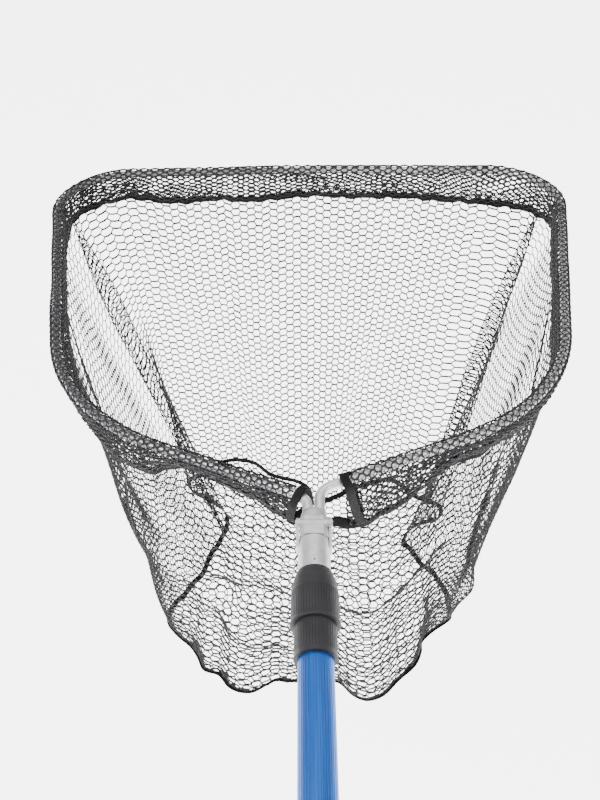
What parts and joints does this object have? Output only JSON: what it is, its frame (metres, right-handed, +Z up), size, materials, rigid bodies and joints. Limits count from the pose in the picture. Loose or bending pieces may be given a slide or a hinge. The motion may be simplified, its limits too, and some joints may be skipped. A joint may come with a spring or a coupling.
{
  "type": "landing net",
  "caption": "Landing net with a telescopic twist-lock handle, a folding head, a bent tube hoop and a deep hanging mesh bag.",
  "frame": {"origin": "middle of the hand grip, on the handle's axis", "axes": "+Y along the handle towards the hoop, +Z up out of the net's mouth, +X to the right of someone holding the grip"},
  "size_m": [0.6918, 1.591, 0.4704],
  "materials": {
    "blue_tube": "satin",
    "silver_tube": "satin",
    "cast_metal": "satin",
    "pin_steel": "satin",
    "black_plastic": "satin",
    "grey_nylon": "satin",
    "foam_grip": "matte",
    "black_rubber": "matte",
    "netting": "matte",
    "binding_tape": "matte"
  },
  "bodies": {
    "pole": {"outer_tube": "blue_tube", "hand_grip": "foam_grip", "grip_ring": "black_plastic", "butt_cap": "black_rubber", "lower_sleeve": "black_plastic", "collet": "grey_nylon"},
    "lock_nut": {"lock_nut": "black_plastic", "wiper_ring": "black_rubber"},
    "guide": {"guide_bush": "grey_nylon"},
    "inner_pole": {"inner_tube": "silver_tube", "fork": "cast_metal", "spigot_rivet": "pin_steel", "pivot_pin": "pin_steel"},
    "net": {"hoop_block": "cast_metal", "hoop_rivets": "pin_steel", "hoop_tube": "silver_tube", "sleeve_left": "netting", "sleeve_right": "netting", "sleeve_far": "netting", "end_tape_left": "binding_tape", "end_tape_right": "binding_tape", "rim_tape": "binding_tape", "bag_far": "netting", "bag_near": "netting", "bag_left": "netting", "bag_right": "netting", "bag_base": "netting", "base_tape": "binding_tape"}
  },
  "joints": [
    {"name": "nut_twist", "type": "hinge", "parent": "pole", "child": "lock_nut", "pos_m": [0, 0.746, 0], "axis": [0, 1, 0], "range_deg": [-90, 90]},
    {"name": "pole_extend", "type": "slide", "parent": "pole", "child": "guide", "axis": [0, 1, 0], "range_m": [0, 0.6]},
    {"name": "pole_turn", "type": "hinge", "parent": "guide", "child": "inner_pole", "pos_m": [0, 0.731, 0], "axis": [0, 1, 0], "continuous": true},
    {"name": "head_fold", "type": "hinge", "parent": "inner_pole", "child": "net", "pos_m": [0, 0.8135, 0.0093], "axis": [1, 0, 0], "range_deg": [0, 130]}
  ]
}
